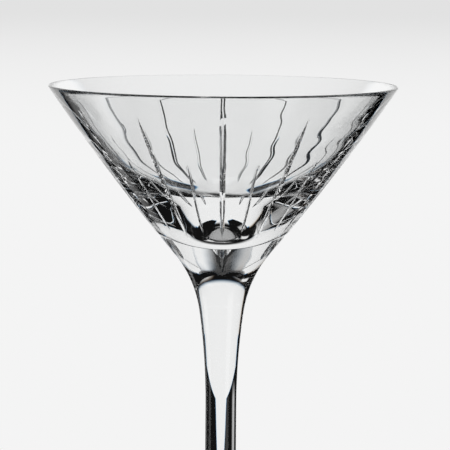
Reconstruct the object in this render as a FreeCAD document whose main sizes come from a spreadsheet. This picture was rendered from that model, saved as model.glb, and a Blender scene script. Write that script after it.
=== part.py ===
import FreeCAD, Part
import math
import os

import Sketcher
from FreeCAD import Vector

# A cut-crystal martini glass: a conical bowl with twenty-four needle cuts, a drawn stem and a round foot,
# fused glass to glass. Millimetres, +Z up, origin at the centre of the face that the foot stands on.

DIMENSIONS = {
    # overall
    "total_height": 175.0,
    "rim_radius": 59.0,
    "foot_radius": 39.0,
    # bowl
    "lip_radius": 0.45,
    "outer_wall_bulge": 720.0,
    "inner_wall_slope": 50.7,
    "knee_radius": 75.5,
    "basin_slope": 34.75,
    "cavity_depth": 49.4,
    "cavity_bottom_radius": 20.0,
    "bowl_joint_height": 109.0,
    # neck, where the bowl's solid base narrows into the stem
    "neck_fillet": 40.0,
    "neck_height": 92.1,
    # stem
    "stem_taper": 230.0,
    "waist_radius": 5.3,
    "waist_height": 65.0,
    "flare_fillet": 22.0,
    "foot_joint_height": 16.0,
    # foot
    "foot_edge_radius": 1.2,
    "foot_top_slope": 8.0,
    "rest_ring_radius": 31.0,
    "hollow_height": 2.2,
    # needle cuts, ground by a mitre wheel: full depth between an upper and a lower height, and beyond those
    # the keel curves out of the wall to a tip; depths are level ones, from the keel out to the wall
    "cuts_per_ring": 12.0,
    "mitre_half_angle": 45.0,
    "mitre_height": 3.0,
    "wheel_sweep": 14.0,
    "cut_lower_height": 133.2,
    "cut_lower_wheel": 75.0,
    "long_cut_depth": 1.08,
    "long_cut_upper_height": 156.1,
    "long_cut_upper_wheel": 150.0,
    "short_cut_depth": 0.74,
    "short_cut_upper_height": 143.9,
    "short_cut_upper_wheel": 75.0,
}

START, END, CENTRE = 1, 2, 3
ORIGIN, H_AXIS, V_AXIS = -1, -1, -2

doc = FreeCAD.newDocument("martini_glass")


def make_sheet():
    """The spreadsheet that holds every driving dimension."""
    sheet = doc.addObject("Spreadsheet::Sheet", "Dimensions")
    for row, (alias, value) in enumerate(DIMENSIONS.items(), start=1):
        sheet.set(f"A{row}", alias)
        sheet.set(f"B{row}", str(value))
        sheet.setAlias(f"B{row}", alias)
    doc.recompute()


def size(alias):
    """A dimension's present value, for the starting shape of a sketch."""
    return DIMENSIONS[alias]


def meeting_point(a, from_a, b, from_b):
    """The point at one distance from a and at another from b, on the side nearer the axis."""
    span = math.dist(a, b)
    along = (from_a ** 2 - from_b ** 2 + span ** 2) / (2 * span)
    aside = math.sqrt(from_a ** 2 - along ** 2)
    unit = ((b[0] - a[0]) / span, (b[1] - a[1]) / span)
    sides = [(a[0] + along * unit[0] - side * unit[1], a[1] + along * unit[1] + side * unit[0])
             for side in (aside, -aside)]
    return min(sides)


def direction(a, b):
    """The direction from a to b, in degrees."""
    return math.degrees(math.atan2(b[1] - a[1], b[0] - a[0]))


def polar(centre, radius, degrees):
    """The point of a circle in a direction from its centre."""
    return (centre[0] + radius * math.cos(math.radians(degrees)),
            centre[1] + radius * math.sin(math.radians(degrees)))


def dim(alias):
    """A dimension as a pair: the formula that reads it, and its present value."""
    return f"Dimensions.{alias}", size(alias)


def origin_feature(body, role):
    return next(f for f in body.Origin.OriginFeatures if f.Role == role)


def new_body(label):
    body = doc.addObject("PartDesign::Body", label)
    body.Label = label
    return body


def new_sketch(body, name, support):
    sketch = body.newObject("Sketcher::SketchObject", name)
    sketch.AttachmentSupport = [(support, "")]
    sketch.MapMode = "FlatFace"
    return sketch


class Profile:
    """A sketch's outline and its named constraints, driven by the sheet."""

    def __init__(self, sketch):
        self.sketch = sketch

    def line(self, a, b, construction=False):
        return self.sketch.addGeometry(Part.LineSegment(Vector(*a, 0), Vector(*b, 0)), construction)

    def arc(self, centre, radius, from_deg, to_deg):
        circle = Part.Circle(Vector(*centre, 0), Vector(0, 0, 1), radius)
        arc = Part.ArcOfCircle(circle, math.radians(from_deg), math.radians(to_deg))
        return self.sketch.addGeometry(arc, False)

    def constrain(self, kind, *where):
        return self.sketch.addConstraint(Sketcher.Constraint(kind, *where))

    def join(self, a, a_end, b, b_end):
        self.constrain("Coincident", a, a_end, b, b_end)

    def blend(self, a, a_end, b, b_end):
        self.constrain("Tangent", a, a_end, b, b_end)

    def on_axis(self, geometry, point):
        self.constrain("PointOnObject", geometry, point, V_AXIS)

    def drive(self, kind, name, source, *where):
        """A named dimension; its source is a pair of formula and starting value."""
        formula, value = source
        index = self.constrain(kind, *where, value)
        self.sketch.renameConstraint(index, name)
        self.sketch.setExpression(f"Constraints.{name}", formula)

    def place(self, name, geometry, point, x=None, z=None):
        """Fixes a point's distance from the axis, its height, or both."""
        if x is not None:
            self.drive("DistanceX", name + "_x", x, ORIGIN, START, geometry, point)
        if z is not None:
            self.drive("DistanceY", name + "_z", z, ORIGIN, START, geometry, point)

    def radius(self, name, geometry, alias):
        self.drive("Radius", name, dim(alias), geometry)

    def slope(self, name, line, alias):
        """Fixes a line's angle to the horizontal; the sheet holds it in degrees."""
        self.drive("Angle", name, (f"Dimensions.{alias} * 1 deg", math.radians(size(alias))), line)

    def measure(self, kind, name, value, *where):
        """A named reference dimension that other sketches read."""
        index = self.constrain(kind, *where, value)
        self.sketch.setDriving(index, False)
        self.sketch.renameConstraint(index, name)


def revolve(body, name, sketch):
    feature = body.newObject("PartDesign::Revolution", name)
    feature.Profile = sketch
    feature.ReferenceAxis = (sketch, ["V_Axis"])
    feature.Angle = 360.0
    return feature


def neck_distance():
    """How far from the axis the centre of the neck's fillet is, which blends into the stem's taper."""
    drop = size("neck_height") - size("waist_height")
    reach = math.sqrt((size("stem_taper") - size("neck_fillet")) ** 2 - drop ** 2)
    return size("waist_radius") + size("stem_taper") - reach


def foot_outline(body):
    """Half section of the foot: rest ring, hollow underside, rounded edge, gentle slope and flare."""
    outline = Profile(new_sketch(body, "foot_outline", origin_feature(body, "XZ_Plane")))
    edge, rim, joint = size("foot_edge_radius"), size("foot_radius"), size("foot_joint_height")
    rest, hollow, slope = size("rest_ring_radius"), size("hollow_height"), size("foot_top_slope")
    flare = size("flare_fillet")
    flare_x = size("waist_radius") + flare
    dome = (rest ** 2 + hollow ** 2) / (2 * hollow)
    dome_span = math.degrees(math.asin(rest / dome))
    slope_z = 2.4 + (rim - flare_x) * math.tan(math.radians(slope))

    ring = outline.line((rest, 0), (rim - edge, 0))
    edge_arc = outline.arc((rim - edge, edge), edge, -90.0, 90.0 - slope)
    top = outline.line((rim - edge, 2 * edge), (flare_x - 3, slope_z))
    flare_arc = outline.arc((flare_x, slope_z + flare), flare, 205.0, 262.0)
    face = outline.line((7.8, joint), (0, joint))
    axis = outline.line((0, joint), (0, hollow))
    dome_arc = outline.arc((0, hollow - dome), dome, 90.0 - dome_span, 90.0)

    outline.blend(ring, END, edge_arc, START)
    outline.blend(edge_arc, END, top, START)
    outline.blend(top, END, flare_arc, END)
    outline.join(flare_arc, START, face, START)
    outline.join(face, END, axis, START)
    outline.join(axis, END, dome_arc, END)
    outline.join(dome_arc, START, ring, START)
    outline.constrain("Horizontal", face)
    outline.constrain("PointOnObject", ring, START, H_AXIS)
    outline.constrain("Horizontal", ring)
    outline.on_axis(face, END)
    outline.on_axis(axis, END)
    outline.on_axis(dome_arc, CENTRE)

    outline.place("rest", ring, START, x=dim("rest_ring_radius"))
    outline.place("edge", edge_arc, CENTRE,
                  x=("Dimensions.foot_radius - Dimensions.foot_edge_radius", rim - edge))
    outline.radius("edge_r", edge_arc, "foot_edge_radius")
    outline.drive("Angle", "slope", ("(180 - Dimensions.foot_top_slope) * 1 deg", math.radians(180 - slope)),
                  ORIGIN, START, top, START)
    outline.radius("flare_r", flare_arc, "flare_fillet")
    outline.place("flare", flare_arc, CENTRE,
                  x=("Dimensions.waist_radius + Dimensions.flare_fillet", flare_x))
    outline.place("joint", face, START, z=dim("foot_joint_height"))
    outline.place("hollow", axis, END, z=dim("hollow_height"))
    outline.measure("DistanceY", "flare_height", slope_z + flare, ORIGIN, START, flare_arc, CENTRE)
    return outline.sketch


def stem_outline(body):
    """Half section of the stem between its two fused joints."""
    outline = Profile(new_sketch(body, "stem_outline", origin_feature(body, "XZ_Plane")))
    top, bottom = size("bowl_joint_height"), size("foot_joint_height")
    waist, waist_z = size("waist_radius"), size("waist_height")
    neck, neck_z, taper = size("neck_fillet"), size("neck_height"), size("stem_taper")
    neck_x = neck_distance()
    flare = size("flare_fillet")
    flare_x, flare_z = waist + flare, 26.2

    top_face = outline.line((0, top), (11.0, top))
    neck_arc = outline.arc((neck_x, neck_z), neck, 155.0, 171.0)
    taper_arc = outline.arc((waist + taper, waist_z), taper, 172.0, 180.0)
    waist_line = outline.line((waist, waist_z), (waist, flare_z))
    flare_arc = outline.arc((flare_x, flare_z), flare, 180.0, 207.0)
    bottom_face = outline.line((7.8, bottom), (0, bottom))
    axis = outline.line((0, bottom), (0, top))

    outline.join(top_face, END, neck_arc, START)
    outline.blend(neck_arc, END, taper_arc, START)
    outline.blend(taper_arc, END, waist_line, START)
    outline.blend(waist_line, END, flare_arc, START)
    outline.join(flare_arc, END, bottom_face, START)
    outline.join(bottom_face, END, axis, START)
    outline.join(axis, END, top_face, START)
    outline.constrain("Vertical", waist_line)
    outline.constrain("Horizontal", top_face)
    outline.constrain("Horizontal", bottom_face)
    outline.on_axis(axis, START)
    outline.on_axis(axis, END)

    outline.place("top", top_face, START, z=dim("bowl_joint_height"))
    outline.radius("neck_r", neck_arc, "neck_fillet")
    outline.place("neck", neck_arc, CENTRE, z=dim("neck_height"))
    outline.radius("taper_r", taper_arc, "stem_taper")
    outline.place("waist", waist_line, START, dim("waist_radius"), dim("waist_height"))
    outline.radius("flare_r", flare_arc, "flare_fillet")
    outline.place("flare", flare_arc, CENTRE, z=("foot_outline.Constraints.flare_height", flare_z))
    outline.place("bottom", bottom_face, START, z=dim("foot_joint_height"))
    outline.measure("DistanceX", "neck_centre", neck_x, ORIGIN, START, neck_arc, CENTRE)
    return outline.sketch


def bowl_outline(body):
    """Half section of the bowl with its solid base, and the keels of the two lengths of cut."""
    outline = Profile(new_sketch(body, "bowl_outline", origin_feature(body, "XZ_Plane")))
    top, rim, lip = size("total_height"), size("rim_radius"), size("lip_radius")
    joint, neck, outer = size("bowl_joint_height"), size("neck_fillet"), size("outer_wall_bulge")
    wall, basin, knee = size("inner_wall_slope"), size("basin_slope"), size("knee_radius")
    bottom, floor = size("cavity_bottom_radius"), top - size("cavity_depth")
    joint_turn = 180.0 - math.degrees(math.asin((joint - size("neck_height")) / neck))

    neck_centre = (neck_distance(), size("neck_height"))
    lip_centre = (rim - lip, top - lip)
    outer_centre = meeting_point(neck_centre, outer + neck, lip_centre, outer - lip)
    floor_centre = (0, floor + bottom)
    wall_end = polar(lip_centre, lip, wall + 90.0)
    basin_end = polar(floor_centre, bottom, basin - 90.0)
    knee_centre = blend_centre(wall_end, wall, basin_end, basin, knee)

    face = outline.line((0, joint), polar(neck_centre, neck, joint_turn))
    neck_arc = outline.arc(neck_centre, neck, direction(neck_centre, outer_centre), joint_turn)
    outer_wall = outline.arc(outer_centre, outer, direction(outer_centre, neck_centre),
                             direction(outer_centre, lip_centre))
    lip_arc = outline.arc(lip_centre, lip, direction(outer_centre, lip_centre), wall + 90.0)
    inner_wall = outline.line(polar(knee_centre, knee, wall - 90.0), wall_end)
    knee_arc = outline.arc(knee_centre, knee, basin - 90.0, wall - 90.0)
    basin_wall = outline.line(basin_end, polar(knee_centre, knee, basin - 90.0))
    floor_arc = outline.arc(floor_centre, bottom, -90.0, basin - 90.0)
    axis = outline.line((0, floor), (0, joint))

    outline.join(face, END, neck_arc, END)
    outline.blend(neck_arc, START, outer_wall, START)
    outline.blend(outer_wall, END, lip_arc, START)
    outline.blend(lip_arc, END, inner_wall, END)
    outline.blend(inner_wall, START, knee_arc, END)
    outline.blend(knee_arc, START, basin_wall, END)
    outline.blend(basin_wall, START, floor_arc, END)
    outline.join(floor_arc, START, axis, START)
    outline.join(axis, END, face, START)
    outline.constrain("Horizontal", face)
    outline.on_axis(axis, START)
    outline.on_axis(axis, END)
    outline.on_axis(floor_arc, CENTRE)

    outline.place("joint", face, START, z=dim("bowl_joint_height"))
    outline.place("neck", neck_arc, CENTRE,
                  ("stem_outline.Constraints.neck_centre", neck_centre[0]), dim("neck_height"))
    outline.radius("neck_r", neck_arc, "neck_fillet")
    outline.radius("outer_r", outer_wall, "outer_wall_bulge")
    outline.radius("lip_r", lip_arc, "lip_radius")
    outline.radius("knee_r", knee_arc, "knee_radius")
    outline.radius("floor_r", floor_arc, "cavity_bottom_radius")
    outline.slope("wall", inner_wall, "inner_wall_slope")
    outline.slope("basin", basin_wall, "basin_slope")
    outline.place("lip", lip_arc, CENTRE,
                  ("Dimensions.rim_radius - Dimensions.lip_radius", rim - lip),
                  ("Dimensions.total_height - Dimensions.lip_radius", top - lip))
    outline.place("floor", floor_arc, START, z=("Dimensions.total_height - Dimensions.cavity_depth", floor))
    for ring in ("long", "short"):
        keel_in_outline(outline, ring, outer_wall, outer_centre)
    return outline.sketch


def blend_centre(wall_end, wall, basin_end, basin, knee):
    """The centre of the arc that blends the inner wall into the basin, each known by its end and slope."""
    across = math.radians(wall - basin)
    wall_unit = polar((0, 0), 1.0, wall)
    basin_unit = polar((0, 0), 1.0, basin)
    gap = (wall_end[0] - basin_end[0], wall_end[1] - basin_end[1])
    down_wall = (gap[1] * basin_unit[0] - gap[0] * basin_unit[1]) / math.sin(across)
    corner = (wall_end[0] - down_wall * wall_unit[0], wall_end[1] - down_wall * wall_unit[1])
    back = knee * math.tan(across / 2)
    tangent_point = (corner[0] + back * wall_unit[0], corner[1] + back * wall_unit[1])
    return polar(tangent_point, knee, wall + 90.0)


def keel_in_outline(outline, ring, outer_wall, outer_centre):
    """The straight run of a cut's keel, one level depth inside the wall from end to end, as construction."""
    depth = size(f"{ring}_cut_depth")
    aliases = {"lower": "cut_lower_height", "upper": f"{ring}_cut_upper_height"}
    ends = []
    for alias in aliases.values():
        drop = size(alias) - outer_centre[1]
        wall_x = outer_centre[0] + math.sqrt(size("outer_wall_bulge") ** 2 - drop ** 2)
        ends.append((wall_x - depth, size(alias)))
    keel = outline.line(ends[0], ends[1], True)
    for (name, alias), point, (x, z) in zip(aliases.items(), (START, END), ends):
        level = outline.line((x, z), (x + depth, z), True)
        outline.join(keel, point, level, START)
        outline.constrain("Horizontal", level)
        outline.constrain("PointOnObject", level, END, outer_wall)
        outline.place(f"{ring}_{name}", keel, point, z=dim(alias))
        outline.drive("DistanceX", f"{ring}_{name}_depth", dim(f"{ring}_cut_depth"), level, START, level, END)
        outline.measure("DistanceX", f"{ring}_{name}_keel_x", x, ORIGIN, START, keel, point)


def cut_plane(body, ring, turn):
    """The plane across the first cut of a ring, turned about the glass's axis by a formula in degrees."""
    plane = body.newObject("PartDesign::Plane", f"{ring}_cut_plane")
    plane.AttachmentSupport = [(origin_feature(body, "YZ_Plane"), "")]
    plane.MapMode = "FlatFace"
    plane.AttachmentOffset = FreeCAD.Placement(Vector(0, 0, 0), FreeCAD.Rotation(Vector(0, 1, 0), 1.0))
    plane.setExpression("AttachmentOffset.Rotation.Angle", turn)
    doc.recompute()
    return plane


def keel_rise(ring):
    """Formulas for how far a keel's straight run rises and how far it moves out."""
    rise = f"((Dimensions.{ring}_cut_upper_height - Dimensions.cut_lower_height) * 1 mm)"
    keel_x = f"bowl_outline.Constraints.{ring}_%s_keel_x"
    return rise, f"({keel_x % 'upper'} - {keel_x % 'lower'})"


def mitre_sketch(body, ring, end, height_alias, wheel_alias, plane):
    """The wheel's V section, square to the keel at one end of its straight run, and the wheel's axle."""
    mitre = Profile(new_sketch(body, f"{ring}_{end}_mitre", plane))
    sketch = mitre.sketch
    rise, run = keel_rise(ring)
    sketch.AttachmentOffset = FreeCAD.Placement(Vector(0, 0, 0), FreeCAD.Rotation(Vector(1, 0, 0), 126.0))
    sketch.setExpression("AttachmentOffset.Base.y", f"Dimensions.{height_alias}")
    sketch.setExpression("AttachmentOffset.Base.z", f"bowl_outline.Constraints.{ring}_{end}_keel_x")
    sketch.setExpression("AttachmentOffset.Rotation.Angle", f"90 deg + atan({run} / {rise})")

    height, wheel = size("mitre_height"), size(wheel_alias)
    half = height * math.tan(math.radians(size("mitre_half_angle")))
    left = mitre.line((0, 0), (-half, height))
    back = mitre.line((-half, height), (half, height))
    right = mitre.line((half, height), (0, 0))
    axle = mitre.line((-height, wheel), (height, wheel), True)
    mitre.join(left, END, back, START)
    mitre.join(back, END, right, START)
    mitre.join(right, END, left, START)
    mitre.constrain("Coincident", left, START, ORIGIN, START)
    mitre.constrain("Symmetric", left, END, back, END, V_AXIS)
    mitre.constrain("Symmetric", axle, START, axle, END, V_AXIS)
    mitre.place("back", back, START, z=dim("mitre_height"))
    mitre.drive("DistanceX", "opening",
                ("2 * Dimensions.mitre_height * tan(Dimensions.mitre_half_angle * 1 deg)", 2 * half),
                back, START, back, END)
    mitre.place("axle", axle, START, z=dim(wheel_alias))
    mitre.drive("DistanceX", "axle_length", ("2 * Dimensions.mitre_height", 2 * height),
                axle, START, axle, END)
    return sketch


def straight_run(body, ring, sketch):
    """The cut between the two ends of the keel's straight run."""
    feature = body.newObject("PartDesign::Pocket", f"{ring}_run")
    rise, run = keel_rise(ring)
    feature.Profile = sketch
    feature.Type = "Length"
    feature.Length = 20.0
    feature.setExpression("Length", f"sqrt({rise}^2 + {run}^2)")
    return feature


def run_out(body, ring, end, sketch, downwards):
    """The cut's end, where the wheel's own curve carries the keel out of the wall."""
    feature = body.newObject("PartDesign::Groove", f"{ring}_{end}_run_out")
    feature.Profile = sketch
    feature.ReferenceAxis = (sketch, ["Axis0"])
    feature.Reversed = downwards
    feature.setExpression("Angle", "Dimensions.wheel_sweep * 1 deg")
    return feature


def needle_cuts(body, ring, turn):
    """One ring of equal cuts: a straight run, a run-out at each end, and their copies round the bowl."""
    plane = cut_plane(body, ring, turn)
    lower = mitre_sketch(body, ring, "lower", "cut_lower_height", "cut_lower_wheel", plane)
    upper = mitre_sketch(body, ring, "upper", f"{ring}_cut_upper_height", f"{ring}_cut_upper_wheel", plane)
    doc.recompute()
    volumes = [body.Tip.Shape.Volume]
    cuts = []
    for make, details in ((straight_run, (lower,)), (run_out, ("lower", lower, True)),
                          (run_out, ("upper", upper, False))):
        cuts.append(make(body, ring, *details))
        doc.recompute()
        volumes.append(body.Tip.Shape.Volume)

    pattern = body.newObject("PartDesign::PolarPattern", f"{ring}_cuts")
    pattern.Originals = cuts
    pattern.Axis = (origin_feature(body, "Z_Axis"), [""])
    pattern.Angle = 360.0
    pattern.setExpression("Occurrences", "Dimensions.cuts_per_ring")
    body.Tip = pattern
    doc.recompute()
    volumes.append(body.Tip.Shape.Volume)
    removed = [before - after for before, after in zip(volumes, volumes[1:])]
    if min(removed) <= 0:
        raise RuntimeError(f"a {ring} cut removes nothing: {removed}")
    print(f"{ring} cut removes {[round(volume, 3) for volume in removed]} mm3")


def make_foot():
    body = new_body("foot")
    sketch = foot_outline(body)
    doc.recompute()
    revolve(body, "foot_blank", sketch)
    doc.recompute()
    return body


def make_stem():
    body = new_body("stem")
    sketch = stem_outline(body)
    doc.recompute()
    revolve(body, "stem_blank", sketch)
    doc.recompute()
    return body


def make_bowl():
    body = new_body("bowl")
    sketch = bowl_outline(body)
    doc.recompute()
    revolve(body, "bowl_blank", sketch)
    doc.recompute()
    needle_cuts(body, "long", "0 deg")
    needle_cuts(body, "short", "180 deg / Dimensions.cuts_per_ring")
    return body


def check(bodies):
    """Stops the build when an object has an error or a body has no sound shape."""
    for item in doc.Objects:
        if "Invalid" in item.State or "Error" in item.State:
            raise RuntimeError(f"{item.Name} has state {item.State}")
        if item.TypeId == "Sketcher::SketchObject" and not item.FullyConstrained:
            raise RuntimeError(f"{item.Name} is not fully constrained")
    for body in bodies:
        shape = body.Shape
        if shape.isNull() or not shape.isValid() or len(shape.Solids) != 1:
            raise RuntimeError(f"{body.Label} has no sound shape")
        print(f"{body.Label}: {shape.Volume:.1f} mm3, {len(shape.Faces)} faces")


def export(bodies):
    os.makedirs("parts", exist_ok=True)
    for body in bodies:
        body.Shape.exportStep(f"parts/{body.Label}.step")


make_sheet()
parts = [make_foot(), make_stem(), make_bowl()]
doc.recompute()
check(parts)
export(parts)
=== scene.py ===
import math

import bpy
import numpy as np
from mathutils import Matrix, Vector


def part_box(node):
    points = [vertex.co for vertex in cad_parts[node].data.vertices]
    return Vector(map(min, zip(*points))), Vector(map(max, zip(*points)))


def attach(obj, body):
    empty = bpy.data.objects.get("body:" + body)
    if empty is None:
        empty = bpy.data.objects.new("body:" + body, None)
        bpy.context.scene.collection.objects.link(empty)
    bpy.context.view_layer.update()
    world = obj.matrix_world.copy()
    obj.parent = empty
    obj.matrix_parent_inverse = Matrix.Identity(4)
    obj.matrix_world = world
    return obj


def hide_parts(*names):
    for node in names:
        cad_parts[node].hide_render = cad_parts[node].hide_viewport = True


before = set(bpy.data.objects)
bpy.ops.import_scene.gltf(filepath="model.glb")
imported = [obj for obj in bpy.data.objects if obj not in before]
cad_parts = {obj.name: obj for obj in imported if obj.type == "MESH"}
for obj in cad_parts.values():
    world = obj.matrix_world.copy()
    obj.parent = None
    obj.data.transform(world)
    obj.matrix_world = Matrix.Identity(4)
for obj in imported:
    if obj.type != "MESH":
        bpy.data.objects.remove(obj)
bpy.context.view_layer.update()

# A cut-crystal martini glass: bowl, stem and foot of one clear crystal, fused glass to glass.
# Lengths here are in metres. Overall sizes come from the parts in model.glb, and the turned outline from
# these.

MM = 0.001

RIM_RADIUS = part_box("bowl")[1].x
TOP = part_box("bowl")[1].z
BOWL_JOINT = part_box("stem")[1].z
FOOT_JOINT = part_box("foot")[1].z
FOOT_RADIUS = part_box("foot")[1].x

LIP_RADIUS = 0.45 * MM
OUTER_BULGE = 720 * MM
INNER_WALL_SLOPE = 50.7
KNEE_RADIUS = 75.5 * MM
BASIN_SLOPE = 34.75
CAVITY_DEPTH = 49.4 * MM
CAVITY_BOTTOM_RADIUS = 20 * MM
NECK_FILLET = 40 * MM
NECK_HEIGHT = 92.1 * MM
STEM_TAPER = 230 * MM
WAIST_RADIUS = 5.3 * MM
WAIST_HEIGHT = 65 * MM
FLARE_FILLET = 22 * MM
FOOT_EDGE = 1.2 * MM
FOOT_SLOPE = 8.0
REST_RING = 31 * MM
HOLLOW_HEIGHT = 2.2 * MM

# Needle cuts: V-shaped, with a rounded keel. A keel runs straight from the lower height to its ring's upper
# height, the ring's depth inside the outer wall at both, and leaves the glass along the wheels' arcs. The
# depth is that of the sharp V, before its keel is rounded.
CUTS_PER_RING = 12
MITRE_HALF_ANGLE = math.radians(38)
KEEL_ROUNDING = 0.3 * MM
CUT_LOWER_HEIGHT = 133.2 * MM
LOWER_WHEEL = 75 * MM
CUT_RINGS = (
    {"depth": 1.35 * MM, "upper": 158.8 * MM, "wheel": 150 * MM},
    {"depth": 0.95 * MM, "upper": 146.4 * MM, "wheel": 75 * MM},
)

# The inner wall's ripples: (height in mm, wavelength down the wall in mm, lobes round it, phase).
RIPPLES = ((0.011, 11.5, 9, 0.4), (0.010, 17.0, -8, 2.1), (0.006, 7.5, 13, 4.0), (0.016, 27.0, 6, 1.2))
RIPPLE_RIM_FADE = 9 * MM
RIPPLE_INNER_RADIUS = 6 * MM
RIPPLE_FULL_RADIUS = 30 * MM

# Mesh spacing. A sector's columns are close together across its cut, at these shares of its half width,
# then spread over the gap to the next cut. Past the cut's ends they even out over the relax length.
# A wheel's arc is followed over the wheel share of its radius at most.
WALL_STEP = 1.1 * MM
STEM_STEP = 1.5 * MM
NECK_STEP = 0.6 * MM
EDGE_STEP = 0.2 * MM
STEM_SEGMENTS = 288
SHARP_ANGLE = math.radians(28)
SAME_HEIGHT = 0.001 * MM
WHEEL_SHARE = 0.9
LEAST_HALF_WIDTH = 0.05 * MM
KEEL_COLUMNS = (-1.0, -0.78, -0.56, -0.36, -0.17, 0.0, 0.17, 0.36, 0.56, 0.78, 1.0)
GAP_COLUMNS = (0.12, 0.4, 0.7)
RELAX_LENGTH = 12 * MM


# ---------------------------------------------------------------- plane geometry

def polar(centre, radius, degrees):
    turn = math.radians(degrees)
    return np.array([centre[0] + radius * math.cos(turn), centre[1] + radius * math.sin(turn)])


def direction(a, b):
    return math.degrees(math.atan2(b[1] - a[1], b[0] - a[0]))


def meeting_point(a, from_a, b, from_b):
    """The point at one distance from a and at another from b, on the side nearer the axis."""
    span = math.dist(a, b)
    along = (from_a ** 2 - from_b ** 2 + span ** 2) / (2 * span)
    aside = math.sqrt(from_a ** 2 - along ** 2)
    unit = ((b[0] - a[0]) / span, (b[1] - a[1]) / span)
    sides = [(a[0] + along * unit[0] - side * unit[1], a[1] + along * unit[1] + side * unit[0])
             for side in (aside, -aside)]
    return min(sides)


def arc(centre, radius, start, end, step, least=6):
    """Points along an arc, from one direction to another, in degrees."""
    count = max(least, math.ceil(abs(math.radians(end - start)) * radius / step))
    return [polar(centre, radius, start + (end - start) * i / count) for i in range(count + 1)]


def line(a, b, step):
    a, b = np.array(a), np.array(b)
    count = max(1, math.ceil(math.dist(a, b) / step))
    return [a + (b - a) * i / count for i in range(count + 1)]


def chain(*runs):
    """One outline from runs whose ends meet."""
    points = [runs[0][0]]
    for run in runs:
        points += [p for p in run if math.dist(p, points[-1]) > 1e-7]
    return np.array(points)


# ---------------------------------------------------------------- outline of the glass

def neck_centre():
    drop = NECK_HEIGHT - WAIST_HEIGHT
    reach = math.sqrt((STEM_TAPER - NECK_FILLET) ** 2 - drop ** 2)
    return (WAIST_RADIUS + STEM_TAPER - reach, NECK_HEIGHT)


NECK = neck_centre()
LIP = (RIM_RADIUS - LIP_RADIUS, TOP - LIP_RADIUS)
OUTER = meeting_point(NECK, OUTER_BULGE + NECK_FILLET, LIP, OUTER_BULGE - LIP_RADIUS)
FLARE_X = WAIST_RADIUS + FLARE_FILLET


def flare_height():
    """Height of the flare's centre: its arc blends into the foot's slope, which starts at the edge's arc."""
    slope = math.radians(FOOT_SLOPE)
    rise = (FOOT_RADIUS - FOOT_EDGE - FLARE_X) * math.tan(slope)
    return FOOT_EDGE + rise + (FOOT_EDGE + FLARE_FILLET) / math.cos(slope)


def foot_outline():
    """From the middle of the hollow underside, round the edge and up the flare to the joint."""
    dome = (REST_RING ** 2 + HOLLOW_HEIGHT ** 2) / (2 * HOLLOW_HEIGHT)
    span = math.degrees(math.asin(REST_RING / dome))
    edge = (FOOT_RADIUS - FOOT_EDGE, FOOT_EDGE)
    flare = (FLARE_X, flare_height())
    slope_end = polar(flare, FLARE_FILLET, 270 - FOOT_SLOPE)
    joint_turn = 180 + math.degrees(math.asin((flare[1] - FOOT_JOINT) / FLARE_FILLET))
    return chain(
        arc((0, HOLLOW_HEIGHT - dome), dome, 90, 90 - span, STEM_STEP),
        line((REST_RING, 0), (edge[0], 0), STEM_STEP),
        arc(edge, FOOT_EDGE, -90, 90 - FOOT_SLOPE, EDGE_STEP),
        line(polar(edge, FOOT_EDGE, 90 - FOOT_SLOPE), slope_end, STEM_STEP),
        arc(flare, FLARE_FILLET, 270 - FOOT_SLOPE, joint_turn, NECK_STEP),
        line((polar(flare, FLARE_FILLET, joint_turn)[0], FOOT_JOINT), (0, FOOT_JOINT), STEM_STEP))


def stem_outline():
    """From the middle of the lower joint, up the stem to the middle of the upper one."""
    flare = (FLARE_X, flare_height())
    taper = (WAIST_RADIUS + STEM_TAPER, WAIST_HEIGHT)
    joint_turn = 180 + math.degrees(math.asin((flare[1] - FOOT_JOINT) / FLARE_FILLET))
    start = polar(flare, FLARE_FILLET, joint_turn)
    meet = direction(taper, NECK) % 360
    top_turn = 180 - math.degrees(math.asin((BOWL_JOINT - NECK_HEIGHT) / NECK_FILLET))
    end = polar(NECK, NECK_FILLET, top_turn)
    return chain(
        line((0, FOOT_JOINT), start, STEM_STEP),
        arc(flare, FLARE_FILLET, joint_turn, 180, NECK_STEP),
        line((WAIST_RADIUS, flare[1]), (WAIST_RADIUS, WAIST_HEIGHT), STEM_STEP),
        arc(taper, STEM_TAPER, 180, meet, STEM_STEP),
        arc(NECK, NECK_FILLET, meet, top_turn, NECK_STEP),
        line(end, (0, BOWL_JOINT), STEM_STEP))


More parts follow.
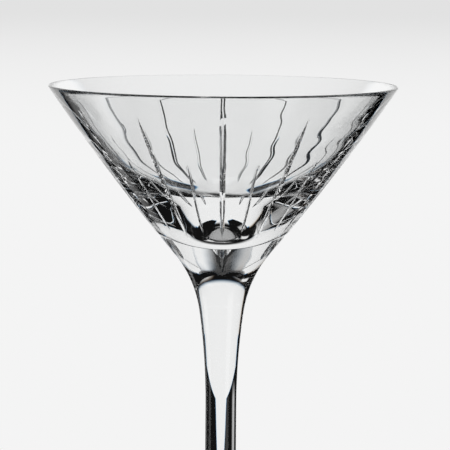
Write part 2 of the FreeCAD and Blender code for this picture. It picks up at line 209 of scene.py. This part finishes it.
def bowl_outlines():
    """The bowl's outside, from its joint to the top of the lip, and its inside, down to the axis."""
    top_turn = 180 - math.degrees(math.asin((BOWL_JOINT - NECK_HEIGHT) / NECK_FILLET))
    joint = polar(NECK, NECK_FILLET, top_turn)
    floor = (0, TOP - CAVITY_DEPTH + CAVITY_BOTTOM_RADIUS)
    wall_end = polar(LIP, LIP_RADIUS, INNER_WALL_SLOPE + 90)
    basin_end = polar(floor, CAVITY_BOTTOM_RADIUS, BASIN_SLOPE - 90)
    across = math.radians(INNER_WALL_SLOPE - BASIN_SLOPE)
    wall = polar((0, 0), 1, INNER_WALL_SLOPE)
    basin = polar((0, 0), 1, BASIN_SLOPE)
    gap = wall_end - basin_end
    corner = wall_end - wall * (gap[1] * basin[0] - gap[0] * basin[1]) / math.sin(across)
    wall_foot = corner + wall * KNEE_RADIUS * math.tan(across / 2)
    knee = polar(wall_foot, KNEE_RADIUS, INNER_WALL_SLOPE + 90)
    outside = chain(
        line((0, BOWL_JOINT), joint, STEM_STEP),
        arc(NECK, NECK_FILLET, top_turn, direction(NECK, OUTER), NECK_STEP),
        arc(OUTER, OUTER_BULGE, direction(OUTER, NECK), direction(OUTER, LIP), WALL_STEP),
        arc(LIP, LIP_RADIUS, direction(OUTER, LIP), 90, EDGE_STEP))
    inside = chain(
        arc(LIP, LIP_RADIUS, 90, INNER_WALL_SLOPE + 90, EDGE_STEP),
        line(wall_end, wall_foot, WALL_STEP),
        arc(knee, KNEE_RADIUS, INNER_WALL_SLOPE - 90, BASIN_SLOPE - 90, WALL_STEP),
        line(polar(knee, KNEE_RADIUS, BASIN_SLOPE - 90), basin_end, WALL_STEP),
        arc(floor, CAVITY_BOTTOM_RADIUS, BASIN_SLOPE - 90, -90, WALL_STEP))
    return outside, inside[1:]


# ---------------------------------------------------------------- needle cuts

def wall_radius(height):
    return OUTER[0] + math.sqrt(OUTER_BULGE ** 2 - (height - OUTER[1]) ** 2)


def keel(ring):
    """A keel's straight run: its lower end, its direction up the wall, its outward normal and its length."""
    lower = np.array([wall_radius(CUT_LOWER_HEIGHT) - ring["depth"], CUT_LOWER_HEIGHT])
    upper = np.array([wall_radius(ring["upper"]) - ring["depth"], ring["upper"]])
    length = math.dist(lower, upper)
    up = (upper - lower) / length
    return lower, up, np.array([up[1], -up[0]]), length


def cut_depths(outline, ring):
    """The keel's depth below each point of the outline, and how far past the cut's ends that point is."""
    lower, up, out, length = keel(ring)
    along = (outline - lower) @ up
    above = (outline - lower) @ out
    below_run = np.clip(-along, 0, LOWER_WHEEL * WHEEL_SHARE)
    past_run = np.clip(along - length, 0, ring["wheel"] * WHEEL_SHARE)
    lift = LOWER_WHEEL - np.sqrt(LOWER_WHEEL ** 2 - below_run ** 2)
    lift += ring["wheel"] - np.sqrt(ring["wheel"] ** 2 - past_run ** 2)
    depth = above - lift
    open_at = along[depth * math.tan(MITRE_HALF_ANGLE) > KEEL_ROUNDING]
    past = np.maximum(open_at.min() - along, along - open_at.max())
    return np.maximum(depth, 0), np.maximum(past, 0)


def waviness(inside):
    """How far the uneven inner wall stands out from its outline at each ring, as a function of the turn."""
    length = np.concatenate([[0], np.cumsum(np.linalg.norm(np.diff(inside, axis=0), axis=1))])
    fade = np.clip(length / RIPPLE_RIM_FADE, 0, 1)
    spread = RIPPLE_FULL_RADIUS - RIPPLE_INNER_RADIUS
    fade *= np.clip((inside[:, 0] - RIPPLE_INNER_RADIUS) / spread, 0, 1)

    def swell(turn):
        total = 0
        for height, wavelength, lobes, phase in RIPPLES:
            run = length[:, None] / (wavelength * MM) * math.tau
            total = total + height * MM * np.sin(run + lobes * turn + phase)
        return total * fade[:, None]
    return swell


# ---------------------------------------------------------------- meshes

def mesh_object(name, points, faces, materials, plain_faces):
    """A smooth mesh piece. plain_faces is how many faces, at the list's end, take the second material."""
    mesh = bpy.data.meshes.new(name)
    mesh.from_pydata([tuple(p) for p in points.tolist()], [], faces)
    for material in materials:
        mesh.materials.append(material)
    mesh.polygons.foreach_set("use_smooth", [True] * len(mesh.polygons))
    first_plain = len(faces) - plain_faces
    mesh.polygons.foreach_set("material_index", [int(i >= first_plain) for i in range(len(faces))])
    mesh.set_sharp_from_angle(angle=SHARP_ANGLE)
    mesh.validate()
    piece = bpy.data.objects.new(name, mesh)
    bpy.context.scene.collection.objects.link(piece)
    return piece


def grid_faces(rings, columns, offset=0):
    """Quads between rings of equal length, facing outwards when the rings run up the outside."""
    return [(offset + i * columns + j, offset + i * columns + (j + 1) % columns,
             offset + (i + 1) * columns + (j + 1) % columns, offset + (i + 1) * columns + j)
            for i in range(rings - 1) for j in range(columns)]


def turned(radii, heights, turns, flat_rings):
    """Points and faces of a turned solid whose first and last outline points are on the axis.

    flat_rings names the rings next to the axis whose bands are joint faces: (from the start, from the end).
    """
    rings, columns = radii.shape
    points = np.stack([radii * np.cos(turns), radii * np.sin(turns), heights], -1).reshape(-1, 3)
    ends = np.array([[0, 0, heights[0, 0]], [0, 0, heights[-1, 0]]])
    bands = grid_faces(rings, columns)
    last = (rings - 1) * columns
    start_fan = [(rings * columns, (j + 1) % columns, j) for j in range(columns)]
    end_fan = [(rings * columns + 1, last + j, last + (j + 1) % columns) for j in range(columns)]
    start, end = flat_rings
    skin = bands[start * columns:len(bands) - end * columns]
    flat = bands[:start * columns] + bands[len(bands) - end * columns:]
    skin += [] if start else start_fan
    skin += [] if end else end_fan
    flat += start_fan if start else []
    flat += end_fan if end else []
    return np.vstack([points, ends]), skin + flat, len(flat)


def simple_turned(name, outline, materials, joints):
    """A plain turned piece. joints says which ends of its outline are joint faces."""
    body = outline[1:-1]
    turns = np.arange(STEM_SEGMENTS) / STEM_SEGMENTS * math.tau - math.pi / 2
    radii = np.repeat(body[:, :1], STEM_SEGMENTS, 1)
    heights = np.repeat(body[:, 1:], STEM_SEGMENTS, 1)
    flat = [0, 0]
    if joints[0]:
        flat[0] = int(np.argmax(body[:, 1] > body[0, 1] + SAME_HEIGHT)) - 1
    if joints[1]:
        flat[1] = int(np.argmax(body[::-1, 1] < body[-1, 1] - SAME_HEIGHT)) - 1
    points, faces, plain = turned(radii, heights, turns[None, :] + radii * 0, flat)
    return mesh_object(name, points, faces, materials, plain)


def sector_columns(half_width, radius, relax):
    """Turns of one sector's columns about its cut, for every ring: close round the cut where it is open."""
    half_sector = math.pi / (2 * CUTS_PER_RING)
    inner = np.arcsin(np.clip(np.outer(half_width / radius, KEEL_COLUMNS), -1, 1))
    edge = inner[:, -1:]
    gap = edge + (half_sector - edge) * np.array([GAP_COLUMNS])
    fitted = np.concatenate([-gap[:, ::-1], inner, gap, np.full((len(radius), 1), half_sector)], 1)
    count = fitted.shape[1]
    even = (np.arange(1, count + 1) / count * 2 - 1) * half_sector
    return fitted * (1 - relax[:, None]) + even[None, :] * relax[:, None]


def make_bowl(materials):
    """The bowl with its solid base: V-shaped cuts ground into the outside, a slightly uneven inside."""
    outside, inside = bowl_outlines()
    outline = np.concatenate([outside, inside])[1:-1]
    outside_rings = len(outside) - 1
    wall_start = int(np.argmax(outline[:, 0] > polar(NECK, NECK_FILLET, direction(NECK, OUTER))[0]))
    tangents = np.gradient(outline, axis=0)
    tangents /= np.linalg.norm(tangents, axis=1)[:, None]
    outward = np.stack([tangents[:, 1], -tangents[:, 0]], 1)

    sectors = []
    for number in range(2 * CUTS_PER_RING):
        ring = CUT_RINGS[number % 2]
        depth, past = cut_depths(outline, ring)
        beyond = np.arange(len(outline))
        depth[(beyond < wall_start) | (beyond >= outside_rings)] = 0
        past[beyond >= outside_rings] = 1
        spread = depth * math.tan(MITRE_HALF_ANGLE)
        half_width = np.sqrt(np.maximum(spread ** 2 - KEEL_ROUNDING ** 2, LEAST_HALF_WIDTH ** 2))
        share = np.clip(past / RELAX_LENGTH, 0, 1)
        relax = share * share * (3 - 2 * share)
        turn = sector_columns(half_width, outline[:, 0], relax)
        lateral = outline[:, :1] * np.sin(turn)
        removed = depth[:, None] - np.sqrt(lateral ** 2 + KEEL_ROUNDING ** 2) / math.tan(MITRE_HALF_ANGLE)
        removed = np.maximum(removed, 0)
        out = keel(ring)[2]
        radii = outline[:, :1] - removed * out[0]
        heights = outline[:, 1:] - removed * out[1]
        sectors.append((radii, heights, turn + number * math.pi / CUTS_PER_RING - math.pi / 2))
    radii, heights, turns = (np.concatenate(parts, 1) for parts in zip(*sectors))

    swell = waviness(outline[outside_rings:])(turns[outside_rings:])
    radii[outside_rings:] += swell * outward[outside_rings:, :1]
    heights[outside_rings:] += swell * outward[outside_rings:, 1:]

    flat = int(np.argmax(outline[:, 1] > outline[0, 1] + SAME_HEIGHT)) - 1
    points, faces, plain = turned(radii, heights, turns, (flat, 0))
    return mesh_object("crystal_bowl", points, faces, materials, plain)


# ---------------------------------------------------------------- materials

def new_material(name):
    material = bpy.data.materials.new(name)
    material.use_nodes = True
    tree = material.node_tree
    tree.nodes.clear()
    return material, tree, tree.nodes.new("ShaderNodeOutputMaterial")


def crystal():
    """Clear crystal glass, with the faint ripple that fire polishing leaves."""
    material, tree, output = new_material("crystal")
    shader = tree.nodes.new("ShaderNodeBsdfPrincipled")
    shader.inputs["Base Color"].default_value = (0.985, 0.99, 0.99, 1)
    shader.inputs["Roughness"].default_value = 0.0
    shader.inputs["IOR"].default_value = 1.54
    shader.inputs["Transmission Weight"].default_value = 1.0
    tree.links.new(shader.outputs[0], output.inputs["Surface"])
    place = tree.nodes.new("ShaderNodeTexCoord")
    ripple = tree.nodes.new("ShaderNodeTexNoise")
    ripple.inputs["Scale"].default_value = 90.0
    ripple.inputs["Detail"].default_value = 1.0
    bump = tree.nodes.new("ShaderNodeBump")
    bump.inputs["Strength"].default_value = 0.35
    bump.inputs["Distance"].default_value = 0.01 * MM
    tree.links.new(place.outputs["Object"], ripple.inputs["Vector"])
    tree.links.new(ripple.outputs["Fac"], bump.inputs["Height"])
    tree.links.new(bump.outputs["Normal"], shader.inputs["Normal"])
    return material


def fused_joint():
    """Where two pieces were fused hot, light passes as if there were no face at all."""
    material, tree, output = new_material("fused_joint")
    shader = tree.nodes.new("ShaderNodeBsdfTransparent")
    tree.links.new(shader.outputs[0], output.inputs["Surface"])
    return material


# ---------------------------------------------------------------- stage, light and camera

def node(tree, kind, **settings):
    made = tree.nodes.new(kind)
    for key, value in settings.items():
        setattr(made, key, value)
    return made


def maths(tree, operation, *values):
    made = node(tree, "ShaderNodeMath", operation=operation)
    for socket, value in zip(made.inputs, values):
        if isinstance(value, (int, float)):
            socket.default_value = value
        else:
            tree.links.new(value, socket)
    return made.outputs[0]


def ramp(tree, value, low, high, start=0.0, end=1.0):
    """A smooth step from start to end as value goes from low to high."""
    made = node(tree, "ShaderNodeMapRange", interpolation_type="SMOOTHSTEP")
    for socket, number in zip(made.inputs[1:5], (low, high, start, end)):
        socket.default_value = number
    tree.links.new(value, made.inputs["Value"])
    return made.outputs[0]


# Soft boxes round the glass, in degrees: (bearing, half width, low edge, high edge, softness, level).
# Bearing 0 is straight behind the glass for the camera, elevation 0 the horizon. The side boxes are for
# looking at the glass from other sides.
BACK_BOXES = (
    (0, 53, -9, 29, 4, 0.93),
    (32, 13, 38, 62, 8, 0.90),
    (-34, 10, 40, 60, 8, 0.45),
)
SIDE_BOXES = (
    (-45, 7, -42, -17, 4, 0.55),
    (-90, 11, -38, 9, 5, 0.85),
    (135, 14, -48, 4, 6, 0.85),
)

# How far red, green and blue see the lights shifted, in degrees: a little of the glass's colour fringes.
COLOUR_SHIFT = (-0.3, 0.0, 0.3)
STUDIO_DARK = 0.006
BACKDROP = 0.78

# The light table behind the glass: a bright strip that opens out to the back. Each row is a straight run of
# its half width: (half width at its start, growth per metre, distance behind the glass where it starts).
# The widest run counts, up to the spread times the distance. Under the foot is a dim round patch:
# (inner edge, outer edge, level).
STRIP_RUNS = ((0.030, 0.0, 0.0), (0.030, 0.42, 0.20), (0.0, 3.0, 0.31))
STRIP_SPREAD = 1.2
STRIP_NEAR_EDGE = (0.07, 0.15)
STRIP_LEVEL = 0.93
STRIP_SOFTNESS = 0.08
STRIP_FRINGE = 0.02
STRIP_LEAST_WIDTH = 0.001
BOWL_MIDDLE = 0.13
TABLE_DROP = 0.4 * MM
UNDER_FOOT = (0.032, 0.042, 0.40)


def soft_boxes(tree, boxes, x, y, z, shift):
    """How bright the soft boxes are in the direction x, y, z, for a colour that sees them shifted."""
    bearing = maths(tree, "ARCTAN2", x, y)
    across_squared = maths(tree, "MULTIPLY", x, x)
    plan = maths(tree, "SQRT", maths(tree, "MULTIPLY_ADD", y, y, across_squared))
    height = maths(tree, "ARCTAN2", z, plan)
    total = STUDIO_DARK
    for centre, half, low, high, soft, level in boxes:
        turned_to = maths(tree, "SUBTRACT", bearing, math.radians(centre + shift))
        aside = maths(tree, "ABSOLUTE", maths(tree, "WRAP", turned_to, math.pi, -math.pi))
        across = ramp(tree, aside, math.radians(half - soft), math.radians(half + soft), level, 0.0)
        low_edge = [math.radians(low + way * soft + shift) for way in (-1, 1)]
        high_edge = [math.radians(high + way * soft + shift) for way in (-1, 1)]
        rise = ramp(tree, height, *low_edge)
        fall = ramp(tree, height, *high_edge, 1.0, 0.0)
        box = maths(tree, "MULTIPLY", across, maths(tree, "MULTIPLY", rise, fall))
        total = maths(tree, "MAXIMUM", total, box)
    return total


def studio_world():
    """Soft boxes round the glass with black between them. The camera itself sees a plain pale wall."""
    world = bpy.data.worlds.new("studio")
    bpy.context.scene.world = world
    world.use_nodes = True
    tree = world.node_tree
    tree.nodes.clear()
    place = node(tree, "ShaderNodeTexCoord")
    parts = node(tree, "ShaderNodeSeparateXYZ")
    tree.links.new(place.outputs["Generated"], parts.inputs[0])
    colour = node(tree, "ShaderNodeCombineColor")
    sides = soft_boxes(tree, SIDE_BOXES, *parts.outputs, 0.0)
    for channel, shift in enumerate(COLOUR_SHIFT):
        back = soft_boxes(tree, BACK_BOXES, *parts.outputs, shift)
        tree.links.new(maths(tree, "MAXIMUM", back, sides), colour.inputs[channel])
    boxes = node(tree, "ShaderNodeBackground")
    tree.links.new(colour.outputs[0], boxes.inputs["Color"])
    wall = node(tree, "ShaderNodeBackground")
    wall.inputs["Color"].default_value = (BACKDROP, BACKDROP, BACKDROP, 1)
    path = node(tree, "ShaderNodeLightPath")
    mix = node(tree, "ShaderNodeMixShader")
    output = node(tree, "ShaderNodeOutputWorld")
    tree.links.new(path.outputs["Is Camera Ray"], mix.inputs[0])
    tree.links.new(boxes.outputs[0], mix.inputs[1])
    tree.links.new(wall.outputs[0], mix.inputs[2])
    tree.links.new(mix.outputs[0], output.inputs["Surface"])


FLOOR_RADIUS = 14
FLOOR_SIDES = 96
# Painted light on the floor: it glows by itself, bright near the glass, with a painted falloff between these
# distances to the darker level far off.
FLOOR_LIGHT_FALLOFF = (1.2, 7.0)
FLOOR_LIGHT_LEVELS = (0.905, 0.76)


def disc(name, height):
    """A round stage surface at a height."""
    bpy.ops.mesh.primitive_circle_add(vertices=FLOOR_SIDES, radius=FLOOR_RADIUS, fill_type="NGON",
                                      location=(0, 0, height))
    made = bpy.context.object
    made.name = name
    return made


def make_light_table():
    """A black sheet under the glass with a lit strip on it. Only rays that have met the glass see it."""
    table = disc("light_table", -TABLE_DROP)
    material, tree, output = new_material("light_table")
    place = node(tree, "ShaderNodeNewGeometry")
    parts = node(tree, "ShaderNodeSeparateXYZ")
    tree.links.new(place.outputs["Position"], parts.inputs[0])
    x, y, z = parts.outputs
    width = None
    for start, growth, begins in STRIP_RUNS:
        run = maths(tree, "MULTIPLY_ADD", y, growth, start - growth * begins)
        width = run if width is None else maths(tree, "MAXIMUM", width, run)
    width = maths(tree, "MINIMUM", width, maths(tree, "MULTIPLY", y, STRIP_SPREAD))
    width = maths(tree, "MAXIMUM", width, STRIP_LEAST_WIDTH)
    across = maths(tree, "DIVIDE", maths(tree, "ABSOLUTE", x), width)
    down = maths(tree, "SUBTRACT", z, BOWL_MIDDLE)
    flat = node(tree, "ShaderNodeVectorMath", operation="LENGTH")
    tree.links.new(place.outputs["Position"], flat.inputs[0])
    under = ramp(tree, flat.outputs["Value"], *UNDER_FOOT, 0.0)
    plain = maths(tree, "MAXIMUM", soft_boxes(tree, SIDE_BOXES, x, y, down, 0.0), under)
    colour = node(tree, "ShaderNodeCombineColor")
    for channel, shift in enumerate(COLOUR_SHIFT):
        edge = 1 + STRIP_FRINGE * (channel - 1)
        strip = ramp(tree, across, edge - STRIP_SOFTNESS, edge + STRIP_SOFTNESS, STRIP_LEVEL, 0.0)
        strip = maths(tree, "MULTIPLY", strip, ramp(tree, y, *STRIP_NEAR_EDGE))
        tree.links.new(maths(tree, "MAXIMUM", strip, plain), colour.inputs[channel])
    shader = node(tree, "ShaderNodeEmission")
    tree.links.new(colour.outputs[0], shader.inputs["Color"])
    tree.links.new(shader.outputs[0], output.inputs["Surface"])
    table.data.materials.append(material)
    table.visible_camera = False
    table.visible_diffuse = False
    table.visible_shadow = False


def make_floor():
    """A plain pale floor that glows with painted light, with a painted falloff that makes it a little darker
    far off. Rays that have met the glass see the table instead.
    """
    floor = disc("floor", 0)
    material, tree, output = new_material("pale_floor_painted_light")
    shader = node(tree, "ShaderNodeEmission")
    place = node(tree, "ShaderNodeTexCoord")
    away = node(tree, "ShaderNodeVectorMath", operation="LENGTH")
    tree.links.new(place.outputs["Object"], away.inputs[0])
    # The floor's painted light: brighter near the glass, a painted falloff to darker far off.
    level = ramp(tree, away.outputs["Value"], *FLOOR_LIGHT_FALLOFF, *FLOOR_LIGHT_LEVELS)
    tree.links.new(level, shader.inputs["Strength"])
    tree.links.new(shader.outputs[0], output.inputs["Surface"])
    floor.data.materials.append(material)
    floor.visible_transmission = False
    floor.visible_glossy = False


# Angles in degrees, lens in millimetres.
CAMERA_DISTANCE = 0.7388
CAMERA_ABOVE_RIM = 0.046
CAMERA_PITCH = 7.23
CAMERA_ROLL = 0.43
CAMERA_YAW = 0.073
CAMERA_LENS = 174.96


def make_camera():
    """A long lens, a little above the rim, looking slightly down and cropping the lower stem."""
    data = bpy.data.cameras.new("camera")
    data.sensor_width = 36
    data.lens = CAMERA_LENS
    camera = bpy.data.objects.new("camera", data)
    bpy.context.scene.collection.objects.link(camera)
    turns = (Matrix.Rotation(math.radians(-CAMERA_YAW), 4, "Z")
             @ Matrix.Rotation(math.radians(90 - CAMERA_PITCH), 4, "X")
             @ Matrix.Rotation(math.radians(CAMERA_ROLL), 4, "Z"))
    camera.matrix_world = Matrix.Translation((0, -CAMERA_DISTANCE, TOP + CAMERA_ABOVE_RIM)) @ turns
    bpy.context.scene.camera = camera


def render_settings():
    """Plain colours, and enough bounces for light to find its way through cut glass."""
    scene = bpy.context.scene
    scene.view_settings.view_transform = "Standard"
    scene.view_settings.look = "None"
    scene.cycles.max_bounces = 24
    scene.cycles.transmission_bounces = 24
    scene.cycles.glossy_bounces = 16
    scene.cycles.transparent_max_bounces = 24
    scene.cycles.sample_clamp_indirect = 4.0


def main():
    glass, joint = crystal(), fused_joint()
    pieces = {
        "bowl": make_bowl([glass, joint]),
        "stem": simple_turned("crystal_stem", stem_outline(), [glass, joint], (True, True)),
        "foot": simple_turned("crystal_foot", foot_outline(), [glass, joint], (False, True)),
    }
    for cad_node, piece in pieces.items():
        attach(piece, "root")
        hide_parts(cad_node)
    make_floor()
    make_light_table()
    studio_world()
    make_camera()
    render_settings()


main()
